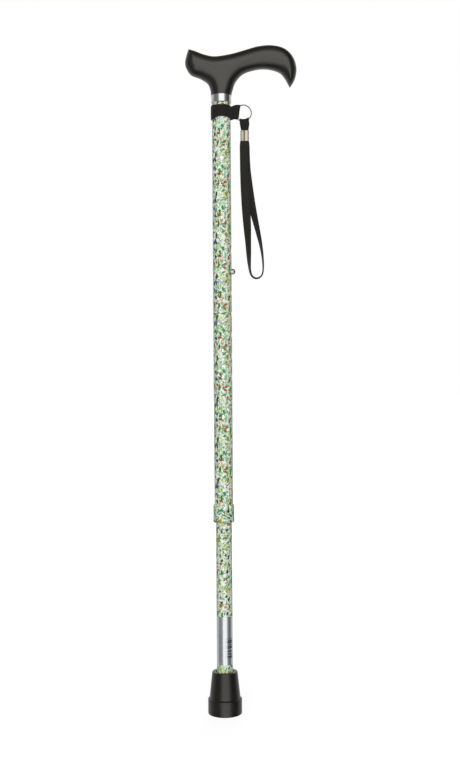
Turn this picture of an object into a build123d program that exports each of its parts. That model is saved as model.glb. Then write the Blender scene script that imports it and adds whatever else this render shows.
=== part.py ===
from build123d import *
from math import pi, radians, tan
import os

# A walking cane whose height adjusts: a derby handle on an outer tube, a lower tube that slides inside
# it and locks with a snap button and a screw collar, a rubber foot, and a wrist strap on a webbing band.
# Millimetres. +Z is up and +X points to the handle's beak, the button and the strap.
# The origin is the middle of the foot's tread, on the tubes' axis.

os.makedirs("parts", exist_ok=True)

# ---- Driving dimensions ----

OUTER_R = 11.1  # 7/8 inch tube
LOWER_R = 9.525  # 3/4 inch tube
TUBE_WALL = 1.2
OUTER_BOTTOM = 238.0
OUTER_TOP = 760.0
LOWER_BOTTOM = 9.5
LOWER_TOP = 546.0

NECK_BOTTOM = 733.0
NECK_COLLAR_BOTTOM = 724.0
NECK_COLLAR_R = 12.15
NECK_COLLAR_EDGE_R = 0.4

BUTTON_Z = 524.0
BUTTON_R = 3.45
BUTTON_TIP = 15.8  # how far the released button's tip stands from the tubes' axis
BUTTON_HOLE_R = 3.6
HOLE_PITCH = 25.0
HOLES_ABOVE = 1
HOLES_BELOW = 5

COLLAR_BOTTOM = 226.8
COLLAR_TOP = 247.6
COLLAR_R = 12.5
COLLET_R = 11.9
RUNNING_GAP = 0.07  # radial play of what slides on the lower tube

FERRULE_TOP = 50.0
FERRULE_RIM_R = 15.0
FERRULE_WAIST_R = 18.35
FERRULE_FOOT_R = 20.15
FERRULE_FOOT_H = 18.0
FERRULE_SOLE = 8.0
WASHER_T = LOWER_BOTTOM - FERRULE_SOLE

LABEL_BOTTOM = 59.0
LABEL_TOP = 116.0
LABEL_T = 0.12

BAND_BOTTOM = 705.5
BAND_TOP = 722.0
BAND_R = 12.5
BAND_GAP = 0.06
TAB_HALF_T = 1.9

RING_X = 26.1
RING_Z = 712.2
RING_R = 9.6
RING_WIRE_R = 0.65
RING_CHANNEL_R = 0.95

CRIMP_X = 27.55
CRIMP_BOTTOM = 678.7
CRIMP_TOP = 692.4
CRIMP_W = 10.2
CRIMP_T = 4.9
CRIMP_WALL = 0.5

EYE_X = 27.3
EYE_W = 10.0
EYE_PIVOT_Z = 703.85
EYE_HOLE_R = 2.2  # wide enough for the ring's curve across the eye's width
EYE_FOLD_R = 3.2

STRAP_W = 10.0
STRAP_T = 1.5


# ---- handle ----

# Cross sections of the grip from tail to beak: underside point and topside point in the XZ plane,
# and half the width along Y.
GRIP_SECTIONS = [
    ((-42.2, 771.0), (-42.0, 775.6), 2.5),
    ((-39.0, 761.8), (-38.9, 785.2), 8.5),
    ((-33.0, 756.8), (-32.3, 786.0), 11.0),
    ((-20.4, 755.4), (-19.4, 781.5), 12.2),
    ((0.0, 754.2), (0.0, 779.8), 12.3),
    ((20.0, 756.0), (20.0, 784.5), 12.3),
    ((38.0, 762.8), (42.0, 790.4), 12.3),
    ((58.4, 763.7), (60.5, 792.0), 12.2),
    ((69.0, 760.1), (78.8, 785.9), 11.6),
    ((74.9, 754.2), (88.6, 771.0), 9.8),
    ((78.4, 748.2), (89.7, 760.0), 7.0),
    ((80.4, 744.4), (87.2, 750.9), 4.0),
    ((81.4, 742.1), (82.8, 742.9), 0.9),
]

# Cross sections of the flared neck: height, tail side and beak side in X, and half the width along Y.
NECK_SECTIONS = [
    (NECK_BOTTOM, -12.15, 12.15, 12.15),
    (740.0, -12.7, 13.7, 12.2),
    (744.0, -14.2, 15.2, 12.2),
    (748.0, -16.6, 17.2, 12.2),
    (751.0, -20.8, 18.6, 12.1),
    (753.0, -25.2, 19.8, 12.0),
    (757.0, -33.0, 23.0, 11.5),
    (763.0, -33.0, 24.0, 10.0),
]

with BuildPart() as handle:
    for under, top, half_width in GRIP_SECTIONS:
        rise = Vector(top[0] - under[0], 0, top[1] - under[1])
        middle = ((under[0] + top[0]) / 2, 0, (under[1] + top[1]) / 2)
        with BuildSketch(Plane(origin=middle, x_dir=rise, z_dir=rise.cross(Vector(0, -1, 0)))):
            Ellipse(rise.length / 2, half_width)
    loft()
    for height, left, right, half_width in NECK_SECTIONS:
        with BuildSketch(Plane.XY.offset(height)):
            with Locations(((left + right) / 2, 0)):
                Ellipse((right - left) / 2, half_width)
    loft()
    with BuildSketch(Plane.XY.offset(NECK_BOTTOM)):
        Circle(OUTER_R)
    extrude(amount=OUTER_TOP - NECK_BOTTOM, mode=Mode.SUBTRACT)
handle.part.label = "handle"
export_step(handle.part, "parts/handle.step")


# ---- neck_collar: polished ring that hides the joint of the handle and the tube ----

with BuildPart() as neck_collar:
    with BuildSketch(Plane.XY.offset(NECK_COLLAR_BOTTOM)):
        Circle(NECK_COLLAR_R)
        Circle(OUTER_R, mode=Mode.SUBTRACT)
    extrude(amount=NECK_BOTTOM - NECK_COLLAR_BOTTOM)
    round_edges = neck_collar.edges().filter_by(GeomType.CIRCLE)
    fillet(round_edges.filter_by(lambda edge: edge.radius > OUTER_R + 0.5), NECK_COLLAR_EDGE_R)
neck_collar.part.label = "neck_collar"
export_step(neck_collar.part, "parts/neck_collar.step")


# ---- outer_tube: a column of button holes on the +X side ----

hole_heights = [BUTTON_Z + HOLE_PITCH * step for step in range(-HOLES_BELOW, HOLES_ABOVE + 1)]

with BuildPart() as outer_tube:
    with BuildSketch(Plane.XY.offset(OUTER_BOTTOM)):
        Circle(OUTER_R)
        Circle(OUTER_R - TUBE_WALL, mode=Mode.SUBTRACT)
    extrude(amount=OUTER_TOP - OUTER_BOTTOM)
    with BuildSketch(Plane.YZ):
        with Locations([(0, height) for height in hole_heights]):
            Circle(BUTTON_HOLE_R)
    extrude(amount=OUTER_R + 1, mode=Mode.SUBTRACT)
outer_tube.part.label = "outer_tube"
export_step(outer_tube.part, "parts/outer_tube.step")


# ---- threaded_collet: sleeve on the outer tube's end, with a flange under it and a cone below ----

SLIDING_R = LOWER_R + RUNNING_GAP
CONE_TOP = OUTER_BOTTOM - 3.6
CONE_BOTTOM = OUTER_BOTTOM - 6.5

with BuildPart() as threaded_collet:
    with BuildSketch(Plane.XZ):
        with BuildLine():
            Polyline(
                (SLIDING_R, OUTER_BOTTOM),
                (SLIDING_R, CONE_TOP),
                (SLIDING_R + 0.3, CONE_TOP),
                (COLLET_R - 0.2, CONE_BOTTOM),
                (COLLET_R, CONE_BOTTOM),
                (COLLET_R, COLLAR_TOP - 0.6),
                (OUTER_R, COLLAR_TOP - 0.6),
                (OUTER_R, OUTER_BOTTOM),
                close=True,
            )
        make_face()
    revolve(axis=Axis.Z)
threaded_collet.part.label = "threaded_collet"
export_step(threaded_collet.part, "parts/threaded_collet.step")


# ---- clamp_ring: split ring, squeezed onto the lower tube between the collar's lip and the cone ----

LIP_TOP = COLLAR_BOTTOM + 2.5
CLAMP_BOTTOM = LIP_TOP + 0.1
CLAMP_SLIT = 2.0

with BuildPart() as clamp_ring:
    with BuildSketch(Plane.XZ):
        with BuildLine():
            Polyline(
                (SLIDING_R, CLAMP_BOTTOM),
                (COLLET_R - 0.1, CLAMP_BOTTOM),
                (COLLET_R - 0.1, CONE_BOTTOM - 0.5),
                (SLIDING_R + 0.3, CONE_TOP - 0.4),
                (SLIDING_R, CONE_TOP - 0.4),
                close=True,
            )
        make_face()
    revolve(axis=Axis.Z)
    with BuildSketch(Plane.XY.offset(CLAMP_BOTTOM)):
        with Locations((-COLLET_R, 0)):
            Rectangle(COLLET_R, CLAMP_SLIT)
    extrude(amount=CONE_TOP - CLAMP_BOTTOM, mode=Mode.SUBTRACT)
clamp_ring.part.label = "clamp_ring"
export_step(clamp_ring.part, "parts/clamp_ring.step")


# ---- locking_collar: screws on the collet, with a lip under the clamp ring and a slight flare ----

COLLAR_BORE_R = COLLET_R + 0.05
LIP_R = LOWER_R + 0.175

with BuildPart() as locking_collar:
    with BuildSketch(Plane.XZ):
        with BuildLine():
            Polyline(
                (LIP_R, COLLAR_BOTTOM),
                (COLLAR_R - 0.7, COLLAR_BOTTOM),
                (COLLAR_R + 0.2, COLLAR_BOTTOM + 1.0),
                (COLLAR_R + 0.2, COLLAR_BOTTOM + 2.4),
                (COLLAR_R, COLLAR_BOTTOM + 3.6),
                (COLLAR_R, COLLAR_TOP - 0.5),
                (COLLAR_R - 0.4, COLLAR_TOP),
                (COLLAR_BORE_R, COLLAR_TOP),
                (COLLAR_BORE_R, LIP_TOP),
                (LIP_R, LIP_TOP),
                close=True,
            )
        make_face()
    revolve(axis=Axis.Z)
locking_collar.part.label = "locking_collar"
export_step(locking_collar.part, "parts/locking_collar.step")


# ---- lower_tube ----

LOWER_BORE_R = LOWER_R - TUBE_WALL

with BuildPart() as lower_tube:
    with BuildSketch(Plane.XY.offset(LOWER_BOTTOM)):
        Circle(LOWER_R)
        Circle(LOWER_BORE_R, mode=Mode.SUBTRACT)
    extrude(amount=LOWER_TOP - LOWER_BOTTOM)
    with BuildSketch(Plane.YZ):
        with Locations((0, BUTTON_Z)):
            Circle(BUTTON_HOLE_R)
    extrude(amount=LOWER_R + 1, mode=Mode.SUBTRACT)
lower_tube.part.label = "lower_tube"
export_step(lower_tube.part, "parts/lower_tube.step")


# ---- guide_bush: plug in the lower tube's top, whose rim runs in the outer tube's bore ----

BUSH_RIM_R = OUTER_R - TUBE_WALL - 0.1
BUSH_BORE_R = 6.0
BUSH_RIM_H = 3.0
BUSH_PLUG_H = 10.0

with BuildPart() as guide_bush:
    with BuildSketch(Plane.XZ):
        with BuildLine():
            Polyline(
                (BUSH_BORE_R, LOWER_TOP - BUSH_PLUG_H),
                (LOWER_BORE_R, LOWER_TOP - BUSH_PLUG_H),
                (LOWER_BORE_R, LOWER_TOP),
                (BUSH_RIM_R, LOWER_TOP),
                (BUSH_RIM_R, LOWER_TOP + BUSH_RIM_H - 0.6),
                (BUSH_RIM_R - 0.6, LOWER_TOP + BUSH_RIM_H),
                (BUSH_BORE_R, LOWER_TOP + BUSH_RIM_H),
                close=True,
            )
        make_face()
    revolve(axis=Axis.Z)
guide_bush.part.label = "guide_bush"
export_step(guide_bush.part, "parts/guide_bush.step")


# ---- snap_button: domed pin through both tubes, with a flange that stops against the lower tube ----

FLANGE_R = 4.2
FLANGE_FACE = 6.9  # just inside the bore at the flange's edge
FLANGE_T = 1.2
DOME_H = 2.2
DOME_SPHERE_R = (BUTTON_R**2 + DOME_H**2) / (2 * DOME_H)

with BuildPart() as snap_button:
    with BuildSketch(Plane.XY.offset(BUTTON_Z)):
        with BuildLine():
            Polyline(
                (BUTTON_TIP, 0),
                (FLANGE_FACE - FLANGE_T, 0),
                (FLANGE_FACE - FLANGE_T, FLANGE_R),
                (FLANGE_FACE, FLANGE_R),
                (FLANGE_FACE, BUTTON_R),
                (BUTTON_TIP - DOME_H, BUTTON_R),
            )
            RadiusArc((BUTTON_TIP - DOME_H, BUTTON_R), (BUTTON_TIP, 0), DOME_SPHERE_R)
        make_face()
    revolve(axis=Axis((0, 0, BUTTON_Z), (1, 0, 0)))
snap_button.part.label = "snap_button"
export_step(snap_button.part, "parts/snap_button.step")


# ---- button_spring: bent leaf, one leg along the far wall and the other behind the button ----

LEAF_T = 0.6
LEAF_W = 6.0
LEAF_FAR_X = -7.2
LEAF_NEAR_X = FLANGE_FACE - FLANGE_T - LEAF_T / 2
LEAF_BEND_Z = BUTTON_Z - 62.0

with BuildPart() as button_spring:
    with BuildSketch(Plane.XZ.offset(-LEAF_W / 2)):
        with BuildLine() as leaf:
            FilletPolyline(
                (LEAF_FAR_X, BUTTON_Z - 12),
                (LEAF_FAR_X, LEAF_BEND_Z),
                (0.0, LEAF_BEND_Z - 6),
                (LEAF_NEAR_X, BUTTON_Z - 22),
                (LEAF_NEAR_X, BUTTON_Z + 6),
                radius=2.5,
            )
        trace(leaf.line, LEAF_T)
    extrude(amount=LEAF_W)
button_spring.part.label = "button_spring"
export_step(button_spring.part, "parts/button_spring.step")


# ---- foil_label: wrapped round the lower tube, with its two ends 2 mm apart at the back ----

LABEL_GAP = 2.0

with BuildPart() as foil_label:
    with BuildSketch(Plane.XY.offset(LABEL_BOTTOM)):
        Circle(LOWER_R + LABEL_T)
        Circle(LOWER_R, mode=Mode.SUBTRACT)
        with Locations((0, LOWER_R)):
            Rectangle(LABEL_GAP, 4, mode=Mode.SUBTRACT)
    extrude(amount=LABEL_TOP - LABEL_BOTTOM)
foil_label.part.label = "foil_label"
export_step(foil_label.part, "parts/foil_label.step")


# ---- ferrule: rubber foot with an open rim, a cone and a round foot with a grooved tread ----

RIM_MOUTH_R = 10.6
RIM_MOUTH_H = 4.0
CONE_EDGE_R = 1.0
FOOT_EDGE_R = 1.3
TREAD_DEPTH = 1.2
TREAD_GROOVES = [(6.0, 8.0), (10.5, 12.5), (15.0, 17.0)]

with BuildPart() as ferrule:
    with BuildSketch(Plane.XZ):
        with BuildLine():
            Polyline(
                (0, 0),
                (FERRULE_FOOT_R, 0),
                (FERRULE_FOOT_R, FERRULE_FOOT_H),
                (FERRULE_WAIST_R, FERRULE_FOOT_H + 1),
                (FERRULE_RIM_R, FERRULE_TOP),
                (RIM_MOUTH_R, FERRULE_TOP),
                (LOWER_R, FERRULE_TOP - RIM_MOUTH_H),
                (LOWER_R, FERRULE_SOLE),
                (0, FERRULE_SOLE),
                close=True,
            )
        make_face()
    revolve(axis=Axis.Z)
    round_edges = ferrule.edges().filter_by(GeomType.CIRCLE)
    cone_radii = (FERRULE_RIM_R - 0.1, FERRULE_FOOT_R - 0.1)
    fillet(round_edges.filter_by(lambda edge: cone_radii[0] < edge.radius < cone_radii[1]), CONE_EDGE_R)
    round_edges = ferrule.edges().filter_by(GeomType.CIRCLE)
    fillet(round_edges.filter_by(lambda edge: edge.radius > cone_radii[1]), FOOT_EDGE_R)
    with BuildSketch(Plane.XY):
        for inner, outer in TREAD_GROOVES:
            Circle(outer)
            Circle(inner, mode=Mode.SUBTRACT)
    extrude(amount=TREAD_DEPTH, mode=Mode.SUBTRACT)
ferrule.part.label = "ferrule"
export_step(ferrule.part, "parts/ferrule.step")


# ---- ferrule_washer: steel disc that stops the tube cutting through the sole ----

WASHER_R = 9.3
WASHER_HOLE_R = 3.0

with BuildPart() as ferrule_washer:
    with BuildSketch(Plane.XY.offset(FERRULE_SOLE)):
        Circle(WASHER_R)
        Circle(WASHER_HOLE_R, mode=Mode.SUBTRACT)
    extrude(amount=WASHER_T)
ferrule_washer.part.label = "ferrule_washer"
export_step(ferrule_washer.part, "parts/ferrule_washer.step")


# ---- shaft_band: webbing round the tube, with a doubled tab that the split ring passes through ----

BAND_BORE_R = OUTER_R + BAND_GAP
TAB_ROOT_X = 11.6
TAB_UPPER_CORNER = (23.6, BAND_TOP)
TAB_WAIST = (21.7, 714.0)
TAB_LOWER_CORNER = (20.8, BAND_BOTTOM)

with BuildPart() as shaft_band:
    with BuildSketch(Plane.XZ.offset(-TAB_HALF_T)):
        with BuildLine():
            Polyline(TAB_LOWER_CORNER, (TAB_ROOT_X, BAND_BOTTOM), (TAB_ROOT_X, BAND_TOP), TAB_UPPER_CORNER)
            ThreePointArc(TAB_UPPER_CORNER, TAB_WAIST, TAB_LOWER_CORNER)
        make_face()
    extrude(amount=2 * TAB_HALF_T)
    with BuildSketch(Plane.XY.offset(BAND_BOTTOM)):
        Circle(BAND_R)
    extrude(amount=BAND_TOP - BAND_BOTTOM)
    with BuildSketch(Plane.XY.offset(BAND_BOTTOM)):
        Circle(BAND_BORE_R)
    extrude(amount=BAND_TOP - BAND_BOTTOM, mode=Mode.SUBTRACT)
    with BuildSketch(Plane.XY.offset(RING_Z)):
        with Locations((RING_X - RING_R, 0)):
            Circle(RING_CHANNEL_R)
    revolve(axis=Axis((RING_X, 0, RING_Z), (0, 1, 0)), mode=Mode.SUBTRACT)
shaft_band.part.label = "shaft_band"
export_step(shaft_band.part, "parts/shaft_band.step")


# ---- band_stitches: a row of thread on each face of the tab, where it leaves the tube ----

STITCH_X = 15.0
STITCH_PITCH = 2.4
STITCH_COUNT = 6
STITCH_LENGTH = 1.7
STITCH_W = 0.5
STITCH_RISE = 0.3

with BuildPart() as band_stitches:
    for side in (-1, 1):
        with BuildSketch(Plane.XZ.offset(side * TAB_HALF_T)):
            with Locations((STITCH_X, (BAND_BOTTOM + BAND_TOP) / 2)):
                with GridLocations(1, STITCH_PITCH, 1, STITCH_COUNT):
                    SlotOverall(STITCH_LENGTH, STITCH_W, rotation=90)
        extrude(amount=side * STITCH_RISE)
band_stitches.part.label = "band_stitches"
export_step(band_stitches.part, "parts/band_stitches.step")


# ---- split_ring: hangs in the tab's channel and carries the wrist strap at its lowest point ----

with BuildPart() as split_ring:
    with BuildSketch(Plane.XY.offset(RING_Z)):
        with Locations((RING_X - RING_R, 0)):
            Circle(RING_WIRE_R)
    revolve(axis=Axis((RING_X, 0, RING_Z), (0, 1, 0)))
split_ring.part.label = "split_ring"
export_step(split_ring.part, "parts/split_ring.step")


# ---- strap_eye: webbing folded over the ring's wire, with its ends inside the crimp ----

STEM_W = CRIMP_W - 2 * CRIMP_WALL
STEM_T = CRIMP_T - 2 * CRIMP_WALL
CRIMP_CORNER_R = 2.0

with BuildPart() as strap_eye:
    with BuildSketch(Plane.YZ.offset(EYE_X - EYE_W / 2)):
        with Locations((0, EYE_PIVOT_Z)):
            Circle(EYE_FOLD_R)
        with Locations((0, CRIMP_TOP)):
            Rectangle(STEM_T, 1, align=(Align.CENTER, Align.MIN))
        make_hull()
        with Locations((0, EYE_PIVOT_Z)):
            Circle(EYE_HOLE_R, mode=Mode.SUBTRACT)
    extrude(amount=EYE_W)
    with BuildSketch(Plane.XY.offset(CRIMP_BOTTOM)):
        with Locations((CRIMP_X, 0)):
            RectangleRounded(STEM_W, STEM_T, CRIMP_CORNER_R - CRIMP_WALL)
    extrude(amount=CRIMP_TOP - CRIMP_BOTTOM)
strap_eye.part.label = "strap_eye"
export_step(strap_eye.part, "parts/strap_eye.step")


# ---- strap_crimp: metal sleeve squeezed round the ends of the eye and of the wrist loop ----

with BuildPart() as strap_crimp:
    with BuildSketch(Plane.XY.offset(CRIMP_BOTTOM)):
        with Locations((CRIMP_X, 0)):
            RectangleRounded(CRIMP_W, CRIMP_T, CRIMP_CORNER_R)
            RectangleRounded(STEM_W, STEM_T, CRIMP_CORNER_R - CRIMP_WALL, mode=Mode.SUBTRACT)
    extrude(amount=CRIMP_TOP - CRIMP_BOTTOM)
strap_crimp.part.label = "strap_crimp"
export_step(strap_crimp.part, "parts/strap_crimp.step")


# ---- wrist_strap: flat webbing loop that leaves the crimp and comes back to it ----

# The loop's middle line in the XZ plane, down the tube's side, round the bottom and back up.
STRAP_ROUTE = [
    (26.7, CRIMP_BOTTOM),
    (26.7, 646.0),
    (27.8, 613.0),
    (29.9, 581.0),
    (31.3, 553.0),
    (32.0, 533.0),
    (33.4, 521.0),
    (37.7, 516.0),
    (43.7, 516.0),
    (48.2, 520.8),
    (48.9, 532.0),
    (47.2, 550.0),
    (42.6, 572.0),
    (36.5, 598.0),
    (32.1, 625.0),
    (28.5, 652.0),
    (28.5, CRIMP_BOTTOM),
]

corner_radii = []
for before, corner, after in zip(STRAP_ROUTE, STRAP_ROUTE[1:], STRAP_ROUTE[2:]):
    run_in = Vector(*corner) - Vector(*before)
    run_out = Vector(*after) - Vector(*corner)
    half_turn = radians(run_in.get_angle(run_out) / 2)
    corner_radii.append(0.45 * min(run_in.length, run_out.length) / tan(half_turn))
print("wrist strap arc radii:", [round(r, 1) for r in corner_radii])

with BuildPart() as wrist_strap:
    with BuildLine(Plane.XZ) as strap_line:
        FilletPolyline(*STRAP_ROUTE, radius=corner_radii)
    with BuildSketch(Plane(origin=strap_line.line @ 0, x_dir=(1, 0, 0), z_dir=(0, 0, -1))):
        Rectangle(STRAP_T, STRAP_W)
    sweep()
strap_length = sum(edge.length for edge in strap_line.edges())
print("wrist strap length:", round(strap_length, 1))
print("volume over section times length:", wrist_strap.part.volume / (STRAP_T * STRAP_W * strap_length))
wrist_strap.part.label = "wrist_strap"
export_step(wrist_strap.part, "parts/wrist_strap.step")
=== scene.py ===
from math import atan2, cos, pi, radians, sin, sqrt

import bmesh
import bpy
import numpy as np
from mathutils import Matrix, Vector


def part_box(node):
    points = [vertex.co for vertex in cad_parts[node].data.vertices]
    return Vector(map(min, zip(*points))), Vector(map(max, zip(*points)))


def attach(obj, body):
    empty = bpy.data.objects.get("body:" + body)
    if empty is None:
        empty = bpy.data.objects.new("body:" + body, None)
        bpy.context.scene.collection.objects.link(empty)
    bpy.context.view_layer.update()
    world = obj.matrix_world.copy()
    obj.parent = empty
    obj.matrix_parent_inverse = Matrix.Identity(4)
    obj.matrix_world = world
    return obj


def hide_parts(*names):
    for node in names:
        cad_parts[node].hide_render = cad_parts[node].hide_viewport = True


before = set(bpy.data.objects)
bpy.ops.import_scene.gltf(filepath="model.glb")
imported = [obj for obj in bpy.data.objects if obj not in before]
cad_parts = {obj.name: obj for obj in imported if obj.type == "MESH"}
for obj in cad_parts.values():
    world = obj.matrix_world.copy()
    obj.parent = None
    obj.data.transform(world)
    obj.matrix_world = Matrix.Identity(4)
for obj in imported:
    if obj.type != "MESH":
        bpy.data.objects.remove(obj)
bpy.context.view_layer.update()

# The looks of a height-adjustable walking cane. Metres; +Z is up, +X points to the handle's beak and the
# strap, and the front is -Y. Sizes written in millimetres are multiplied by MM.

MM = 0.001


# ---- Camera, floor and light ----

CAMERA_PLACE = (8.3, -1265, 391.3)
CAMERA_ROLL = -0.38
CAMERA_LENS = 50
CAMERA_SENSOR = 36
SEEN_FROM, SEEN_TO = 0.05, 60


def make_camera():
    """The camera stands level in front of the cane's middle, a little to the right, with a slight roll."""
    data = bpy.data.cameras.new("camera")
    data.lens = CAMERA_LENS
    data.sensor_width = CAMERA_SENSOR
    data.clip_start, data.clip_end = SEEN_FROM, SEEN_TO
    camera = bpy.data.objects.new("camera", data)
    place = Matrix.Translation(Vector(CAMERA_PLACE) * MM)
    level = Matrix.Rotation(radians(90), 4, "X")
    camera.matrix_world = place @ level @ Matrix.Rotation(radians(CAMERA_ROLL), 4, "Z")
    bpy.context.scene.collection.objects.link(camera)
    bpy.context.scene.camera = camera


# The floor's glow and the distances from the origin between which it rises, in metres.
FLOOR_GLOW_NEAR, FLOOR_GLOW_FAR = 0.87, 1.1
FLOOR_NEAR, FLOOR_FAR = 0.15, 1.1
FLOOR_REACH = 25.0
FLOOR_Z = -0.0002
FLOOR_CORNERS = 64
FLOOR_GREYS = ((0.2, 0.2, 0.2, 1), (0.22, 0.22, 0.22, 1))


def make_floor():
    """A plain pale floor that glows, more so far away, so that it meets the backdrop without an edge."""
    mesh = bpy.data.meshes.new("floor")
    turns = [2 * pi * k / FLOOR_CORNERS for k in range(FLOOR_CORNERS)]
    ring = [(FLOOR_REACH * cos(turn), FLOOR_REACH * sin(turn), FLOOR_Z) for turn in turns]
    mesh.from_pydata(ring, [], [range(FLOOR_CORNERS)])
    floor = bpy.data.objects.new("floor", mesh)
    bpy.context.scene.collection.objects.link(floor)
    paint = Paint("floor")
    grain = paint.noise(paint.place(), 30.0, 3.0)
    paint.set("Base Color", paint.mix(grain, *FLOOR_GREYS))
    paint.set("Roughness", 0.9)
    paint.set("Specular IOR Level", 0.0)
    paint.set("Emission Color", (1, 1, 1, 1))
    away = paint.vector("LENGTH", paint.place())
    glow = paint.rescale(away, FLOOR_NEAR, FLOOR_FAR, FLOOR_GLOW_NEAR, FLOOR_GLOW_FAR)
    paint.set("Emission Strength", glow)
    mesh.materials.append(paint.material)
    floor.visible_glossy = False
    floor.visible_diffuse = False


# How bright the studio is round the cane, in degrees from the front, with the left side negative.
STUDIO_AROUND = [
    (-180, 0.85), (-158, 0.78), (-122, 0.55), (-101, 0.46), (-87, 0.26), (-72, 0.16), (-50, 0.19),
    (-36, 0.24), (-28, 0.4), (-21, 1.08), (0, 1.15), (31, 1.1), (38, 0.5), (46, 0.24), (60, 0.11),
    (75, 0.055), (91, 0.09), (104, 0.38), (122, 0.56), (158, 0.75), (180, 0.85),
]
# How bright it is at each height of the direction, from straight down at -1 to straight up at 1.
STUDIO_HEIGHT = [
    (-1.0, 0.25), (-0.92, 0.35), (-0.8, 0.7), (-0.6, 0.9), (-0.4, 0.95), (0.0, 0.92), (0.28, 1.0),
    (0.42, 1.18), (0.54, 0.95), (0.66, 0.55), (0.76, 0.28), (0.9, 0.18), (1.0, 0.18),
]
STUDIO_TOP_TONE = 1.2  # at least as bright as the tones above, which a ramp holds as shares of it
BACKDROP = (1.0, 1.0, 1.0, 1)
# Soft rectangular lights that glossy surfaces don't show: name, place and size in metres, and watts.
LIGHTS = [
    ("overhead", (0.1, -0.9, 2.1), (1.6, 1.0), 8),
    ("front_fill", (-0.5, -3.0, 0.6), (2.4, 2.4), 68),
    ("back_fill", (0.5, 3.0, 0.8), (2.4, 2.4), 50),
]
LIGHTS_AIM = (0, 0, 0.45)


def make_light():
    """A white studio with a tall softbox in front and dark flags at both sides, and three soft lights."""
    scene = bpy.context.scene
    scene.view_settings.view_transform = "Standard"
    scene.world = bpy.data.worlds.new("studio")
    scene.world.use_nodes = True
    studio = Nodes(scene.world.node_tree)
    x, y, z = studio.split(studio.node("ShaderNodeTexCoord").outputs["Generated"])
    turn = studio.math("ARCTAN2", x, studio.math("MULTIPLY", y, -1.0))
    around = studio.ramp(turn, pi, [(degrees / 180, tone) for degrees, tone in STUDIO_AROUND])
    upward = studio.ramp(z, 1.0, STUDIO_HEIGHT)
    light = studio.vector("MULTIPLY", studio.vector("MULTIPLY", around, upward), (STUDIO_TOP_TONE**2,) * 3)
    seen = studio.mix(studio.node("ShaderNodeLightPath").outputs["Is Camera Ray"], light, BACKDROP)
    studio.plug(seen, studio.tree.nodes["Background"].inputs["Color"])
    for name, place, size, power in LIGHTS:
        data = bpy.data.lights.new(name, "AREA")
        data.shape = "RECTANGLE"
        data.size, data.size_y = size
        data.energy = power
        lamp = bpy.data.objects.new(name, data)
        lamp.location = place
        lamp.rotation_euler = (Vector(LIGHTS_AIM) - lamp.location).to_track_quat("-Z", "Y").to_euler()
        lamp.visible_glossy = False
        scene.collection.objects.link(lamp)


# ---- Shader nodes ----

class Nodes:
    """Short calls that add shader nodes to a tree."""

    def __init__(self, tree):
        self.tree = tree

    def plug(self, value, socket):
        """Links another node's output to the socket, or sets it to a plain value."""
        if isinstance(value, bpy.types.NodeSocket):
            self.tree.links.new(value, socket)
        else:
            socket.default_value = value

    def node(self, kind, **settings):
        made = self.tree.nodes.new(kind)
        for name, value in settings.items():
            setattr(made, name, value)
        return made

    def math(self, operation, *values):
        made = self.node("ShaderNodeMath", operation=operation)
        for value, socket in zip(values, made.inputs):
            self.plug(value, socket)
        return made.outputs[0]

    def vector(self, operation, *values):
        made = self.node("ShaderNodeVectorMath", operation=operation)
        for value, socket in zip(values, made.inputs):
            self.plug(value, socket)
        return made.outputs["Value" if operation == "LENGTH" else "Vector"]

    def split(self, vector):
        made = self.node("ShaderNodeSeparateXYZ")
        self.plug(vector, made.inputs[0])
        return made.outputs

    def combine(self, x, y, z=0.0):
        made = self.node("ShaderNodeCombineXYZ")
        for value, socket in zip((x, y, z), made.inputs):
            self.plug(value, socket)
        return made.outputs[0]

    def mix(self, share, a, b):
        made = self.node("ShaderNodeMix", data_type="RGBA")
        self.plug(share, made.inputs["Factor"])
        self.plug(a, made.inputs[6])
        self.plug(b, made.inputs[7])
        return made.outputs[2]

    def noise(self, vector, scale, detail):
        made = self.node("ShaderNodeTexNoise")
        self.plug(vector, made.inputs["Vector"])
        made.inputs["Scale"].default_value = scale
        made.inputs["Detail"].default_value = detail
        return made.outputs["Fac"]

    def rescale(self, value, low, high, to_low=0.0, to_high=1.0, smooth=False):
        made = self.node("ShaderNodeMapRange", interpolation_type="SMOOTHSTEP" if smooth else "LINEAR")
        self.plug(value, made.inputs["Value"])
        limits = {"From Min": low, "From Max": high, "To Min": to_low, "To Max": to_high}
        for name, number in limits.items():
            self.plug(number, made.inputs[name])
        return made.outputs["Result"]

    def ramp(self, value, reach, stops):
        """Grey tones for values from -reach to reach. Each stop has a place from -1 to 1 and a tone."""
        made = self.node("ShaderNodeValToRGB")
        self.plug(self.rescale(value, -reach, reach), made.inputs["Fac"])
        elements = made.color_ramp.elements
        elements.remove(elements[-1])
        for number, (place, tone) in enumerate(stops):
            share = (place + 1) / 2
            element = elements.new(share) if number else elements[0]
            element.position = share
            element.color = (*[tone / STUDIO_TOP_TONE] * 3, 1)
        return made.outputs["Color"]


class Paint(Nodes):
    """A material with one Principled shader and the nodes that feed it."""

    def __init__(self, name):
        self.material = bpy.data.materials.new(name)
        self.material.use_nodes = True
        super().__init__(self.material.node_tree)
        self.shader = self.tree.nodes["Principled BSDF"]

    def set(self, name, value):
        self.plug(value, self.shader.inputs[name])

    def bump(self, height, distance, strength):
        made = self.node("ShaderNodeBump")
        made.inputs["Distance"].default_value = distance
        made.inputs["Strength"].default_value = strength
        self.plug(height, made.inputs["Height"])
        self.set("Normal", made.outputs["Normal"])

    def place(self):
        """Where a point of the surface lies in the row frame at rest, in metres."""
        return self.node("ShaderNodeTexCoord").outputs["Object"]

    def around(self, radius):
        """Millimetres round a tube on the Z axis and up it. The front is 0, and the seam is at the back."""
        x, y, z = self.split(self.place())
        turn = self.math("ARCTAN2", x, self.math("MULTIPLY", y, -1.0))
        return self.combine(self.math("MULTIPLY", turn, radius), self.math("MULTIPLY", z, 1 / MM))


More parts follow.
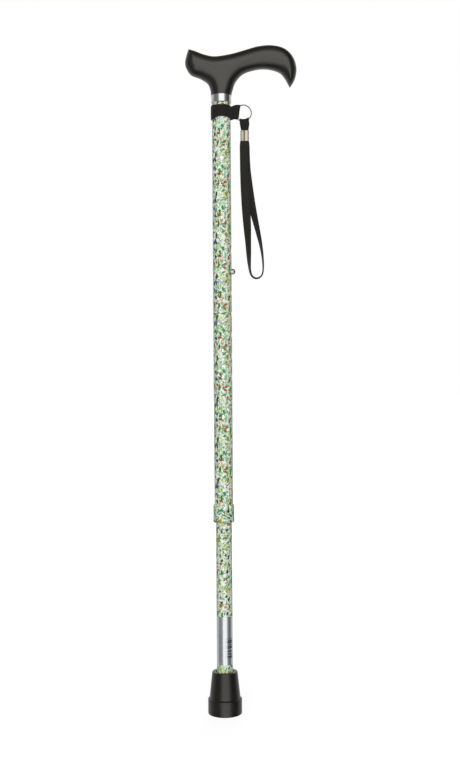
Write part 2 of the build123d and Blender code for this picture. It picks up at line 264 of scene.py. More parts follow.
# ---- Materials ----

def rgb(red, green, blue):
    """A colour given as it looks on a screen, 0 to 255, as the shader wants it."""
    shares = [c / 255 for c in (red, green, blue)]
    return (*[c / 12.92 if c <= 0.04 else ((c + 0.055) / 1.055) ** 2.4 for c in shares], 1)


def toned(colour, factor):
    """The colour made darker or lighter by a factor."""
    return (*[min(1.0, factor * c) for c in colour[:3]], 1)


# The fine leaves and flowers that fill the print's ground: the shape, the space each one has, its length and
# width as shares of that space, how many of the spaces hold one, how opaque it is, and two colours.
PRINT_LAYERS = [
    ("leaf", 5.2, 0.58, 0.22, 0.85, 0.75, rgb(196, 220, 160), rgb(200, 226, 196)),
    ("leaf", 3.7, 0.54, 0.20, 0.70, 0.80, rgb(150, 194, 112), rgb(168, 210, 160)),
    ("flower", 5.6, 0.40, 0.0, 0.40, 0.90, rgb(250, 250, 250), rgb(232, 230, 244)),
    ("leaf", 3.0, 0.54, 0.18, 0.55, 0.85, rgb(84, 142, 58), rgb(108, 168, 112)),
    ("leaf", 4.1, 0.44, 0.14, 0.45, 0.85, rgb(146, 132, 58), rgb(100, 118, 76)),
    ("leaf", 4.6, 0.48, 0.15, 0.40, 0.90, rgb(34, 92, 38), rgb(60, 130, 96)),
    ("leaf", 2.3, 0.50, 0.17, 0.30, 0.90, rgb(24, 76, 26), rgb(92, 80, 44)),
]
LEAF_SWING = 2.3  # how far leaves turn from upright, in radians from one side to the other
LEAF_BOW = 0.9
PETALS = 5.0

PAPER, PAPER_SHADE, PAPER_HAZE = rgb(240, 241, 238), rgb(206, 222, 196), rgb(204, 200, 222)
STEM, VINE = rgb(96, 132, 84), rgb(128, 124, 140)
RUST = rgb(134, 60, 26)
ORANGE = rgb(162, 80, 0)
PINK = rgb(202, 134, 102)
PALE_PINK = rgb(226, 206, 208)
YELLOW = rgb(192, 142, 14)
OLIVE = rgb(152, 142, 46)
STRAW = rgb(206, 204, 124)
LIME = rgb(146, 186, 96)
GREEN = rgb(56, 122, 30)
FOREST = rgb(14, 62, 12)
TEAL = rgb(48, 138, 100)
MINT = rgb(134, 188, 150)
SLATE = rgb(32, 82, 132)
LILAC = rgb(176, 172, 204)
VIOLET = rgb(62, 44, 140)

# The larger motifs in one repeat of each print. Each has its place to the right of the front and down from
# the top of the repeat, its length and width, how far it leans to the right from upright in degrees, and a
# colour. TOP is the height of one repeat's top.
UPPER_TOP = 489.1
UPPER_REPEAT = 48.15
UPPER_MOTIFS = [
    (4.0, 43.0, 7.6, 2.2, 4, MINT), (-6.4, 32.2, 3.4, 2.2, 20, LIME), (-2.3, 31.0, 4.4, 2.0, 0, LIME),
    (8.8, 13.2, 6.0, 2.4, 0, LIME), (5.6, 18.6, 5.4, 3.0, 0, OLIVE), (-1.4, 19.8, 3.6, 2.4, 70, STRAW),
    (4.6, 24.9, 4.6, 1.6, 60, OLIVE), (-2.3, 26.0, 4.4, 1.8, -30, LILAC), (-10.4, 9.0, 6.6, 2.4, 0, MINT),
    (12.3, 34.0, 7.0, 1.8, 0, OLIVE), (7.4, 29.4, 3.6, 1.8, 50, PINK), (-5.6, 8.6, 2.6, 1.8, -20, PINK),
    (-4.1, 6.2, 6.6, 2.2, 5, GREEN), (9.8, 8.6, 7.6, 2.2, 0, GREEN), (1.7, 6.4, 5.4, 1.6, 88, TEAL),
    (1.7, 15.0, 4.6, 2.0, 62, TEAL), (-7.0, 19.8, 7.8, 2.1, 6, FOREST), (-8.0, 26.6, 6.2, 2.0, -14, FOREST),
    (1.1, 35.0, 4.6, 3.0, -20, TEAL), (-7.7, 37.6, 5.0, 2.1, 14, GREEN), (-2.6, 39.0, 3.6, 2.6, 0, GREEN),
    (-0.4, 2.6, 2.9, 2.6, 0, PINK), (2.4, 9.2, 4.4, 2.2, -64, ORANGE), (4.1, 4.8, 3.2, 2.6, 70, ORANGE),
    (-7.3, 3.0, 3.2, 2.2, -28, ORANGE), (-11.7, 4.4, 6.4, 1.9, 0, RUST), (-11.2, 15.6, 3.4, 1.9, 0, RUST),
    (11.1, 16.2, 3.0, 2.3, 0, RUST), (8.0, 37.0, 2.5, 2.3, 60, OLIVE), (-3.2, 43.6, 4.6, 2.7, -72, ORANGE),
    (8.4, 46.0, 4.2, 2.7, 8, ORANGE), (-11.0, 27.4, 5.6, 2.5, 0, SLATE), (-10.4, 36.0, 3.4, 2.6, 30, SLATE),
    (-8.5, 44.4, 4.0, 3.0, -30, SLATE), (9.7, 43.0, 1.9, 1.9, 0, FOREST), (-2.2, 41.6, 2.8, 1.2, 10, FOREST),
]
LOWER_TOP = 223.4
LOWER_REPEAT = 49.3
LOWER_MOTIFS = [
    (-9.0, 22.0, 7.0, 2.8, 0, LIME), (1.0, 23.0, 4.4, 2.2, 30, LIME), (-6.6, 16.0, 5.6, 2.7, 0, OLIVE),
    (-1.4, 25.0, 2.6, 2.0, 20, STRAW), (-11.0, 34.0, 8.4, 2.1, 0, TEAL), (5.6, 19.8, 4.6, 1.9, 30, TEAL),
    (-2.8, 6.4, 5.4, 2.1, 0, GREEN), (2.6, 14.0, 3.6, 1.6, -40, GREEN), (-9.9, 6.2, 6.6, 2.0, 0, GREEN),
    (10.6, 6.4, 5.6, 2.4, 0, TEAL), (6.4, 46.0, 5.6, 2.0, -20, GREEN), (-4.6, 34.8, 3.6, 1.8, 0, RUST),
    (2.1, 34.2, 3.0, 2.0, 40, FOREST), (11.0, 13.8, 4.6, 1.9, 0, FOREST), (5.0, 11.6, 3.8, 1.6, 40, TEAL),
    (-7.3, 2.6, 2.9, 2.1, 60, ORANGE), (3.8, 5.1, 3.2, 2.5, 40, FOREST), (0.0, 14.4, 2.9, 1.8, 60, ORANGE),
    (9.4, 17.6, 5.8, 1.9, -10, ORANGE), (6.7, 25.4, 2.7, 2.3, 0, YELLOW), (2.6, 28.0, 2.4, 2.0, 0, YELLOW),
    (-5.2, 28.3, 2.3, 2.0, 0, RUST), (5.6, 37.4, 4.8, 2.1, 20, FOREST), (-2.9, 41.2, 2.9, 2.3, 30, FOREST),
    (-4.0, 44.7, 2.9, 2.6, 0, ORANGE), (1.5, 46.4, 2.8, 2.3, 40, PINK), (5.0, 48.6, 3.4, 2.0, 60, PINK),
]
COLLAR_TOP = 247.2
COLLAR_REPEAT = 60.0
COLLAR_MOTIFS = [
    (-10.6, 12.0, 6.6, 2.4, 10, MINT), (-12.4, 9.6, 5.4, 1.8, -16, TEAL), (1.4, 14.8, 3.6, 1.6, 70, MINT),
    (9.6, 5.0, 4.4, 1.8, 10, LIME), (-2.4, 12.6, 4.0, 1.8, -30, LIME), (1.8, 11.4, 4.4, 0.9, -60, SLATE),
    (-4.9, 9.4, 4.4, 1.5, 64, TEAL), (-7.4, 7.6, 3.6, 1.9, 40, TEAL), (-3.4, 5.1, 5.2, 2.0, 84, TEAL),
    (-9.5, 17.0, 3.6, 2.0, 24, GREEN), (-12.6, 18.0, 2.6, 2.0, 0, GREEN), (5.5, 4.2, 4.4, 1.5, 0, FOREST),
    (0.2, 7.4, 5.0, 1.4, -66, FOREST), (5.5, 7.0, 2.7, 2.2, 60, FOREST), (5.2, 1.2, 2.0, 1.8, 0, GREEN),
    (8.9, 11.8, 3.6, 2.2, -50, FOREST), (6.6, 14.3, 2.9, 2.0, 30, GREEN), (7.6, 10.0, 3.8, 1.1, -20, GREEN),
    (-12.9, 1.6, 2.9, 2.4, 0, YELLOW), (11.3, 1.8, 2.8, 2.2, 0, LIME), (-3.9, 18.2, 5.4, 3.1, 0, YELLOW),
    (3.6, 19.8, 2.6, 1.6, 80, STRAW), (8.7, 18.2, 2.8, 2.4, 0, VIOLET), (14.8, 9.6, 5.0, 1.8, 0, SLATE),
    (-9.5, 12.6, 1.5, 1.3, 0, ORANGE), (-14.6, 7.0, 4.6, 1.8, 0, LIME), (13.4, 14.6, 3.8, 1.8, 0, TEAL),
    (4.6, 20.8, 2.4, 2.0, 60, PINK), (-1.2, 2.2, 2.6, 1.2, 40, GREEN), (1.8, 4.4, 2.2, 1.9, 0, PALE_PINK),
    (-2.8, 1.9, 2.3, 2.0, 0, PALE_PINK), (11.6, 8.6, 4.6, 1.2, 16, GREEN),
]


def scattered(paint, where, layer, seed):
    """What a layer's small motifs add at a point: a share and a colour. Each turns at random in its cell."""
    shape, space, length, width, share, opacity, colour_a, colour_b = layer
    spread = paint.vector("MULTIPLY", where, (1 / space, 1 / space, 1))
    spread = paint.vector("ADD", spread, (seed * 3.71, seed * 5.13, 0))
    cells = paint.node("ShaderNodeTexVoronoi", voronoi_dimensions="2D")
    paint.plug(spread, cells.inputs["Vector"])
    cells.inputs["Scale"].default_value = 1.0
    cells.inputs["Randomness"].default_value = 0.85
    chance, turn, shade = paint.split(cells.outputs["Color"])
    local = paint.vector("SUBTRACT", spread, cells.outputs["Position"])
    turned = paint.node("ShaderNodeVectorRotate", rotation_type="Z_AXIS")
    paint.plug(local, turned.inputs["Vector"])
    angle = paint.rescale(turn, 0.15, 0.85, (pi - LEAF_SWING) / 2, (pi + LEAF_SWING) / 2)
    paint.plug(angle, turned.inputs["Angle"])
    x, y, _ = paint.split(turned.outputs["Vector"])
    if shape == "leaf":
        along = paint.math("DIVIDE", x, length)
        bow = paint.math("MULTIPLY", paint.math("MULTIPLY", x, x), LEAF_BOW)
        offset = paint.math("SUBTRACT", y, bow)
        across = paint.math("ABSOLUTE", offset)
        edge = paint.math("SUBTRACT", 1.0, paint.math("MULTIPLY", along, along))
        depth = paint.math("SUBTRACT", edge, paint.math("DIVIDE", across, width))
        inside = paint.rescale(depth, 0.0, 0.16, smooth=True)
        vein = paint.rescale(offset, -0.02, 0.02, 0.0, 0.4)
        shade = paint.math("ADD", paint.math("MULTIPLY", shade, 0.6), vein)
    else:
        petals = paint.math("COSINE", paint.math("MULTIPLY", paint.math("ARCTAN2", y, x), PETALS))
        reach = paint.rescale(petals, -1.0, 1.0, 0.55 * length, length)
        gap = paint.math("SUBTRACT", reach, paint.vector("LENGTH", local))
        inside = paint.rescale(gap, 0.0, 0.05, smooth=True)
    present = paint.math("LESS_THAN", chance, share)
    amount = paint.math("MULTIPLY", paint.math("MULTIPLY", inside, present), opacity)
    return amount, paint.mix(shade, colour_a, colour_b)


MOTIF_GROWTH = 1.2  # how much larger the motifs are printed than the sizes above
MOTIF_COVER = 0.99
MOTIF_DARK, MOTIF_PALE = 0.6, 1.25
MOTIF_SWAY = 2.2  # how ragged their edges are, in millimetres
MOTIF_SWAY_SCALE = 0.7
BLOOM_BELOW = 1.7  # a motif less slim than this is a round bloom
BLOOM_EDGE = (0.78, 1.12)
LEAF_EDGE = (0.85, 1.15)


def motif(paint, where, half_turn, repeat, shape):
    """How much of one large motif shows at a point: a slim one is a pointed leaf, any other a round bloom."""
    across, down, length, width, lean = shape
    local = paint.vector("SUBTRACT", where, (across, down, 0))
    reach = (half_turn / 2, repeat / 2, 1)
    local = paint.vector("WRAP", local, reach, tuple(-r for r in reach))
    placed = paint.node("ShaderNodeMapping", vector_type="TEXTURE")
    paint.plug(local, placed.inputs["Vector"])
    placed.inputs["Rotation"].default_value = (0, 0, radians(lean))
    grown = MOTIF_GROWTH / 2
    placed.inputs["Scale"].default_value = (width * grown, length * grown, 1)
    if length < BLOOM_BELOW * width:
        edge = paint.vector("LENGTH", placed.outputs["Vector"])
        return paint.rescale(edge, *BLOOM_EDGE, 1.0, 0.0, smooth=True)
    x, y, _ = paint.split(placed.outputs["Vector"])
    edge = paint.math("ADD", paint.math("ABSOLUTE", x), paint.math("MULTIPLY", y, y))
    return paint.rescale(edge, *LEAF_EDGE, 1.0, 0.0, smooth=True)


def paper(paint, where, scale):
    """The print's ground: near white with pale green and lilac clouds, and thin winding stems and vines."""
    blot = paint.noise(where, 0.17 / scale, 2.0)
    ground = paint.mix(paint.rescale(blot, 0.42, 0.6), PAPER, PAPER_SHADE)
    haze = paint.noise(paint.vector("ADD", where, (40, 11, 0)), 0.33 / scale, 1.0)
    colour = paint.mix(paint.rescale(haze, 0.5, 0.68, 0.0, 0.7), ground, PAPER_HAZE)
    wander = paint.noise(paint.vector("MULTIPLY", where, (1.0, 0.6, 1)), 0.16 / scale, 1.5)
    stem = paint.math("PINGPONG", paint.math("MULTIPLY", wander, 13.0), 0.5)
    colour = paint.mix(paint.rescale(stem, 0.0, 0.09, 0.7, 0.0, smooth=True), colour, STEM)
    vines = paint.noise(paint.vector("ADD", where, (17, 90, 0)), 0.2 / scale, 1.0)
    vine = paint.math("PINGPONG", paint.math("MULTIPLY", vines, 17.0), 0.5)
    return paint.mix(paint.rescale(vine, 0.0, 0.08, 0.55, 0.0, smooth=True), colour, VINE)


def floral(name, radius, top, repeat, motifs, scale=1.0):
    """A flower and leaf print in greens with touches of orange, yellow, pink and blue, under clear gloss."""
    paint = Paint(name)
    round_mm, up_mm, _ = paint.split(paint.around(radius))
    where = paint.combine(round_mm, paint.math("SUBTRACT", top, up_mm))
    colour = paper(paint, where, scale)
    for number, (shape, space, *rest) in enumerate(PRINT_LAYERS):
        amount, tint = scattered(paint, where, (shape, space * scale, *rest), number + 1)
        colour = paint.mix(amount, colour, tint)
    ragged = paint.node("ShaderNodeTexNoise")
    paint.plug(where, ragged.inputs["Vector"])
    ragged.inputs["Scale"].default_value = MOTIF_SWAY_SCALE
    sway = paint.vector("SUBTRACT", ragged.outputs["Color"], (0.5, 0.5, 0.5))
    sway = paint.vector("MULTIPLY", sway, (MOTIF_SWAY, MOTIF_SWAY, 0))
    drawn = paint.vector("ADD", where, sway)
    tone = paint.rescale(paint.noise(where, 1.1, 1.0), 0.35, 0.65)
    for *shape, tint in motifs:
        amount = paint.math("MULTIPLY", motif(paint, drawn, pi * radius, repeat, shape), MOTIF_COVER)
        inked = paint.mix(tone, toned(tint, MOTIF_DARK), toned(tint, MOTIF_PALE))
        colour = paint.mix(amount, colour, inked)
    paint.set("Base Color", colour)
    paint.set("Roughness", 0.3)
    paint.set("Specular IOR Level", 0.15)
    paint.set("Coat Weight", 0.08)
    paint.set("Coat Roughness", 0.12)
    paint.bump(paint.noise(where, 1.3, 3.0), 0.03 * MM, 0.4)
    return paint.material


WIPE_STRETCH = (60, 60, 900)


def polished(name, colour, roughness, scratch=0.05):
    """Plated metal with faint wipe marks that run round it."""
    paint = Paint(name)
    marks = paint.noise(paint.vector("MULTIPLY", paint.place(), WIPE_STRETCH), 3.0, 3.0)
    dulled = paint.rescale(marks, 0.3, 0.7, 0.0, 0.12)
    paint.set("Base Color", paint.mix(dulled, colour, (0.35, 0.35, 0.35, 1)))
    paint.set("Metallic", 1.0)
    paint.set("Roughness", paint.rescale(marks, 0.3, 0.7, roughness, roughness + scratch))
    paint.bump(paint.noise(paint.place(), 260.0, 2.0), 0.02 * MM, 0.3)
    return paint.material


def moulded(name, colour, roughness, grain, depth, shine=0.5):
    """Moulded plastic or rubber with a fine grain and slightly uneven gloss."""
    paint = Paint(name)
    cloud = paint.noise(paint.place(), 90.0, 3.0)
    paint.set("Base Color", paint.mix(paint.rescale(cloud, 0.3, 0.7), toned(colour, 0.7), colour))
    paint.set("Roughness", paint.rescale(cloud, 0.3, 0.7, roughness - 0.04, roughness + 0.05))
    paint.set("Specular IOR Level", shine)
    paint.set("Specular Tint", (1.0, 0.96, 0.88, 1))
    paint.bump(paint.noise(paint.place(), grain, 3.0), depth, 0.6)
    return paint.material


def woven(name, colour, across, along, depth):
    """Webbing or braid. The UV map holds millimetres across and along the piece."""
    paint = Paint(name)
    u, v, _ = paint.split(paint.node("ShaderNodeUVMap", uv_map="weave").outputs["UV"])
    column = paint.math("FLOOR", paint.math("DIVIDE", u, across))
    lean = paint.rescale(paint.math("PINGPONG", column, 1.0), 0.0, 1.0, -1.0, 1.0)
    rib = paint.math("PINGPONG", paint.math("DIVIDE", u, across), 0.5)
    slant = paint.math("ADD", v, paint.math("MULTIPLY", u, lean))
    pick = paint.math("PINGPONG", paint.math("DIVIDE", slant, along), 0.5)
    height = paint.math("ADD", paint.math("MULTIPLY", rib, 0.8), pick)
    fuzz = paint.noise(paint.place(), 1600.0, 2.0)
    # Painted shade: the colour follows the weave's height, lighter on the raised ribs and darker in the
    # grooves, with a random fuzz on top.
    shade = paint.math("ADD", paint.math("MULTIPLY", height, 0.8), paint.math("MULTIPLY", fuzz, 0.4))
    paint.set("Base Color", paint.mix(paint.rescale(shade, 0.1, 1.1), colour, toned(colour, 1.8)))
    paint.set("Roughness", 0.75)
    paint.set("Specular IOR Level", 0.3)
    paint.set("Sheen Weight", 0.08)
    paint.set("Sheen Roughness", 0.5)
    paint.bump(paint.math("ADD", height, paint.math("MULTIPLY", fuzz, 0.3)), depth, 0.9)
    return paint.material


# The label's plain marks: the height and half the thickness of each bar. Bars and fine lines reach from one
# place round the label to another, the lines from one height to another, and the bars are worn on the left.
LABEL_BARS = [
    (90.0, 0.45), (87.6, 0.85), (85.6, 0.85), (83.0, 0.45), (80.8, 0.8), (79.2, 0.7), (75.4, 0.75),
    (72.6, 0.55), (71.2, 0.4), (69.0, 0.8), (67.4, 0.4),
]
LABEL_BARS_ROUND = (0.2, 10.2)
LABEL_WORN_ROUND = (2.6, 4.0)
LABEL_LINES_ROUND = (-7.2, -2.6)
LABEL_LINES_Z = (63.0, 98.0)
LABEL_LINE_PITCH = 1.5
LABEL_SOFT_EDGE = 0.12


def foil(name, radius):
    """Silver foil with plain printed marks: a block of bars to the right and fine lines to the left."""
    paint = Paint(name)
    u, v, _ = paint.split(paint.around(radius))

    def window(value, low, high):
        above = paint.math("GREATER_THAN", value, low)
        return paint.math("MULTIPLY", above, paint.math("LESS_THAN", value, high))

    bars = None
    for height, half in LABEL_BARS:
        gap = paint.math("ABSOLUTE", paint.math("SUBTRACT", v, height))
        bar = paint.rescale(gap, half - LABEL_SOFT_EDGE, half + LABEL_SOFT_EDGE, 1.0, 0.0)
        bars = bar if bars is None else paint.math("MAXIMUM", bars, bar)
    worn = paint.rescale(u, *LABEL_WORN_ROUND, 0.16, 1.0)
    bars = paint.math("MULTIPLY", bars, paint.math("MULTIPLY", window(u, *LABEL_BARS_ROUND), worn))
    line = paint.math("PINGPONG", paint.math("DIVIDE", u, LABEL_LINE_PITCH), 0.5)
    gaps = paint.math("GREATER_THAN", paint.noise(paint.combine(paint.math("FLOOR", u), v), 1.1, 1.0), 0.42)
    lines = paint.math("MULTIPLY", window(u, *LABEL_LINES_ROUND), window(v, *LABEL_LINES_Z))
    lines = paint.math("MULTIPLY", paint.math("MULTIPLY", lines, gaps), paint.rescale(line, 0.18, 0.3))
    ink = paint.math("MAXIMUM", bars, paint.math("MULTIPLY", lines, 0.8))
    paint.set("Base Color", paint.mix(ink, rgb(232, 237, 239), rgb(34, 37, 40)))
    paint.set("Metallic", paint.rescale(ink, 0.0, 1.0, 0.85, 0.0))
    paint.set("Roughness", paint.rescale(ink, 0.0, 1.0, 0.14, 0.45))
    paint.bump(paint.noise(paint.around(radius), 0.5, 2.0), 0.03 * MM, 0.25)
    return paint.material


# ---- Mesh helpers ----

def add_mesh(name, points, faces, material, body):
    """A new piece from points in metres and faces, which rides on a body."""
    mesh = bpy.data.meshes.new(name)
    mesh.from_pydata([tuple(p) for p in points], [], [tuple(f) for f in faces])
    mesh.validate()
    mesh.shade_smooth()
    mesh.materials.append(material)
    piece = bpy.data.objects.new(name, mesh)
    bpy.context.scene.collection.objects.link(piece)
    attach(piece, body)
    return piece


def bake_modifiers(piece):
    """Replaces the piece's mesh by what its modifiers make of it."""
    shaped = piece.evaluated_get(bpy.context.evaluated_depsgraph_get())
    mesh = bpy.data.meshes.new_from_object(shaped)
    piece.modifiers.clear()
    piece.data = mesh


def tube_faces(rings, around, closed=False):
    """Quads between rings of points, with flat ends unless the rings close on themselves."""
    faces = []
    spans = rings if closed else rings - 1
    for i in range(spans):
        for j in range(around):
            a, b = i * around, ((i + 1) % rings) * around
            k = (j + 1) % around
            faces.append((a + j, a + k, b + k, b + j))
    if not closed:
        faces.append(tuple(reversed(range(around))))
        faces.append(tuple((rings - 1) * around + j for j in range(around)))
    return faces


FACE_POWER = 2.6


def rounded_section(width, thickness, count, power=4.0):
    """Points of a rounded flat section: across the width and through the thickness."""
    points = []
    for k in range(count):
        turn = 2 * pi * k / count
        c, s = cos(turn), sin(turn)
        x = width / 2 * abs(c) ** (2 / power) * (1 if c >= 0 else -1)
        y = thickness / 2 * abs(s) ** (2 / FACE_POWER) * (1 if s >= 0 else -1)
        points.append((x, y))
    return points


def smooth_path(points, per_span):
    """A smooth open line through the points, as a Catmull-Rom curve with per_span steps between two."""
    p = np.array(points, float)
    p = np.vstack([2 * p[0] - p[1], p, 2 * p[-1] - p[-2]])
    out = []
    for i in range(1, len(p) - 2):
        for t in np.arange(per_span) / per_span:
            out.append(
                0.5 * (2 * p[i] + (p[i + 1] - p[i - 1]) * t
                       + (2 * p[i - 1] - 5 * p[i] + 4 * p[i + 1] - p[i + 2]) * t**2
                       + (3 * p[i] - p[i - 1] - 3 * p[i + 1] + p[i + 2]) * t**3)
            )
    out.append(p[-2])
    return np.array(out)


def closed_path(points, per_span):
    """A smooth closed line through the points."""
    ring = list(points)
    wrapped = [ring[-1], *ring, ring[0], ring[1]]
    line = smooth_path(wrapped, per_span)
    return line[per_span : per_span * (len(ring) + 1)]


def skin(name, grid, u, v, material, body, closed=False):
    """A smooth skin over rings of points, with a weave map: u runs round each ring, v along the piece."""
    rings, around = grid.shape[:2]
    faces = tube_faces(rings, around, closed)
    piece = add_mesh(name, grid.reshape(-1, 3), faces, material, body)
    weave = piece.data.uv_layers.new(name="weave")
    for face in piece.data.polygons:
        corners = [divmod(piece.data.loops[k].vertex_index, around) for k in face.loop_indices]
        wraps_u = {0, around - 1} <= {j for _, j in corners}
        wraps_v = closed and {0, rings - 1} <= {i for i, _ in corners}
        for k, (i, j) in zip(face.loop_indices, corners):
            across = u[around] if wraps_u and j == 0 else u[j]
            along = v[rings] if wraps_v and i == 0 else v[i]
            weave.data[k].uv = (across, along)
    return piece


def running_length(points):
    """Distance along a line of points, from 0 at the first; the last value closes the loop."""
    p = np.vstack([points, points[:1]])
    return np.concatenate([[0], np.cumsum(np.linalg.norm(np.diff(p, axis=0), axis=1))])


# ---- Handle ----

# The side view of the handle, in millimetres: smooth lines through points, that meet at the tips.
HANDLE_TOP = [
    (-38.5, 788.0), (-31.0, 785.9), (-19.4, 781.5), (-6.9, 779.3), (12.1, 782.1), (29.9, 787.0),
    (43.0, 790.6), (56.0, 792.1), (67.0, 791.0), (75.6, 788.0), (82.6, 782.3), (87.4, 774.6),
    (89.7, 764.6), (88.9, 756.5), (86.5, 749.4), (81.7, 741.9),
]
HANDLE_UNDERSIDE = [
    (81.7, 741.9), (78.4, 748.2), (74.9, 754.2), (69.0, 760.1), (58.4, 763.7), (47.0, 764.4), (36.4, 762.5),
    (29.2, 760.1), (23.5, 756.5), (17.2, 748.8), (13.9, 739.9), (12.3, 733.0), (12.2, 724.0), (12.15, 715.0),
]
HANDLE_TAIL = [
    (-12.15, 715.0), (-12.15, 724.0), (-12.15, 733.0), (-12.8, 739.9), (-16.2, 747.6), (-24.9, 753.4),
    (-35.9, 758.0), (-41.5, 766.6), (-42.5, 773.2), (-41.1, 780.2), (-38.5, 788.0),
]
HANDLE_EDGE_R = 11.6
HANDLE_HALF_WIDTH = 12.3
HANDLE_VOXEL = 0.9
HANDLE_INSET = 1.5  # how much narrower the flat blank is than the finished grip, on each side
HANDLE_PASSES = 6
HANDLE_SMOOTHINGS = 3
NECK_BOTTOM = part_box("handle")[0].z / MM
SOCKET_R = 11.15
SOCKET_TOP = 760.0


def edge_distance(points, outline):
    """How far inside the closed outline each point lies, and the direction in which that grows."""
    start, end = outline, np.roll(outline, -1, axis=0)
    span = end - start
    reach = points[:, None, :] - start[None]
    share = np.clip((reach * span).sum(2) / (span**2).sum(1), 0, 1)
    away = reach - share[..., None] * span
    gap = np.linalg.norm(away, axis=2)
    nearest = gap.argmin(1)
    rows = np.arange(len(points))
    gap, away = gap[rows, nearest], away[rows, nearest]
    x, z = points[:, 0:1], points[:, 1:2]
    spans_z = (start[:, 1] > z) != (end[:, 1] > z)
    rise = np.where(np.abs(span[:, 1]) < 1e-9, 1e-9, span[:, 1])
    crossing = start[:, 0] + (z - start[:, 1]) / rise * span[:, 0]
    inside = ((spans_z & (x < crossing)).sum(1) % 2) * 2 - 1
    return gap * inside, away / np.maximum(gap, 1e-9)[:, None] * inside[:, None]


def handle_blank(outline, material):
    """A flat slab of the handle's side view, in voxels fine enough to be rounded over."""
    count = len(outline)
    reach = HANDLE_HALF_WIDTH - HANDLE_INSET
    points = [(x * MM, side * reach * MM, z * MM) for side in (-1, 1) for x, z in outline]
    faces = [tuple(range(count)), tuple(reversed(range(count, 2 * count)))]
    faces += [(k, count + k, count + (k + 1) % count, (k + 1) % count) for k in range(count)]
    piece = add_mesh("derby_handle", points, faces, material, "upper_shaft")
    remesh = piece.modifiers.new("remesh", "REMESH")
    remesh.mode = "VOXEL"
    remesh.voxel_size = HANDLE_VOXEL * MM
    bake_modifiers(piece)
    return piece


def round_over(mesh, outline):
    """Moves the blank's points onto the surface that has flat sides and edges of the radius HANDLE_EDGE_R."""
    p = np.empty(len(mesh.vertices) * 3)
    mesh.vertices.foreach_get("co", p)
    p = p.reshape(-1, 3) / MM
    flat = HANDLE_HALF_WIDTH - HANDLE_EDGE_R
    for _ in range(HANDLE_PASSES):
        depth, inward = edge_distance(p[:, [0, 2]], outline)
        from_edge = np.maximum(HANDLE_EDGE_R - depth, 0)
        from_middle = np.maximum(np.abs(p[:, 1]) - flat, 0)
        spread = np.maximum(np.hypot(from_edge, from_middle), 1e-6)
        excess = spread - HANDLE_EDGE_R
        p[:, [0, 2]] += (excess * from_edge / spread)[:, None] * inward
        p[:, 1] -= excess * from_middle / spread * np.sign(p[:, 1])
    mesh.vertices.foreach_set("co", (p * MM).ravel())


def make_handle(material):
    """The derby grip: its side view, rounded over to flat sides, with the tube's socket in its neck."""
    outline = np.vstack([smooth_path(line, 7)[:-1] for line in (HANDLE_TOP, HANDLE_UNDERSIDE, HANDLE_TAIL)])
    piece = handle_blank(outline, material)
    mesh = piece.data
    round_over(mesh, outline)
    shape = bmesh.new()
    shape.from_mesh(mesh)
    axes = {f"use_axis_{axis}": True for axis in "xyz"}
    for _ in range(HANDLE_SMOOTHINGS):
        bmesh.ops.smooth_vert(shape, verts=shape.verts, factor=0.5, **axes)
    bore_neck(shape)
    shape.to_mesh(mesh)
    shape.free()
    mesh.shade_smooth()
    mesh.materials.clear()
    mesh.materials.append(material)
    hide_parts("handle")


def bore_neck(shape):
    """Cuts the neck off level and sinks the socket in it."""
    everything = shape.verts[:] + shape.edges[:] + shape.faces[:]
    floor = (0, 0, NECK_BOTTOM * MM)
    bmesh.ops.bisect_plane(shape, geom=everything, plane_co=floor, plane_no=(0, 0, -1), clear_outer=True)
    rim = [edge for edge in shape.edges if edge.is_boundary]
    for radius, height in ((SOCKET_R, NECK_BOTTOM), (SOCKET_R, SOCKET_TOP)):
        grown = bmesh.ops.extrude_edge_only(shape, edges=rim)["geom"]
        for vert in (item for item in grown if isinstance(item, bmesh.types.BMVert)):
            turn = atan2(vert.co.y, vert.co.x)
            vert.co = (radius * MM * cos(turn), radius * MM * sin(turn), height * MM)
        rim = [item for item in grown if isinstance(item, bmesh.types.BMEdge) and item.is_boundary]
    bmesh.ops.holes_fill(shape, edges=rim, sides=0)
    bmesh.ops.recalc_face_normals(shape, faces=shape.faces)


# ---- Wrist strap ----

# The loop's middle line, in millimetres, as the CAD model has it: down beside the tube, round the bottom
# and back up. The two ends lie one in front of the other in the crimp.
CRIMP_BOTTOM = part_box("strap_crimp")[0].z / MM
CRIMP_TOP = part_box("strap_crimp")[1].z / MM
STRAP_ROUTE = [
    (26.7, -0.95, CRIMP_BOTTOM),
    (26.7, -1.0, 646.0),
    (27.8, -0.6, 613.0),
    (29.9, 0, 581.0),
    (31.3, 0, 553.0),
    (32.0, 0, 533.0),
    (33.4, 0, 521.0),
    (37.7, 0, 516.0),
    (43.7, 0, 516.0),
    (48.2, 0, 520.8),
    (48.9, 0, 532.0),
    (47.2, 0, 550.0),
    (42.6, 0, 572.0),
    (36.5, 0.2, 598.0),
    (32.1, 0.7, 625.0),
    (28.5, 1.0, 652.0),
    (28.5, 0.95, CRIMP_BOTTOM),
]
STRAP_WIDTH = 10.0
STRAP_THICKNESS = 1.8
STRAP_STEP = 1.0
STRAP_EASE = 9  # how many steps on each side a turn of the webbing is spread over
STRAP_NIP = 0.9  # the share of its width that the crimp leaves it, and how far from the crimp that ends
STRAP_NIP_REACH = 6.0
# How far the webbing is turned from facing the front, in degrees at heights in millimetres, on the way down
# and on the way up.
STRAP_TURN_DOWN = [(510, 90), (521, 87), (531, 75), (540, 62), (559, 50), (588, 15), (604, 0)]
STRAP_TURN_UP = [(510, 90), (531, 90), (554, 75), (588, 47), (597, 37), (616, 26), (635, 10), (652, 0)]


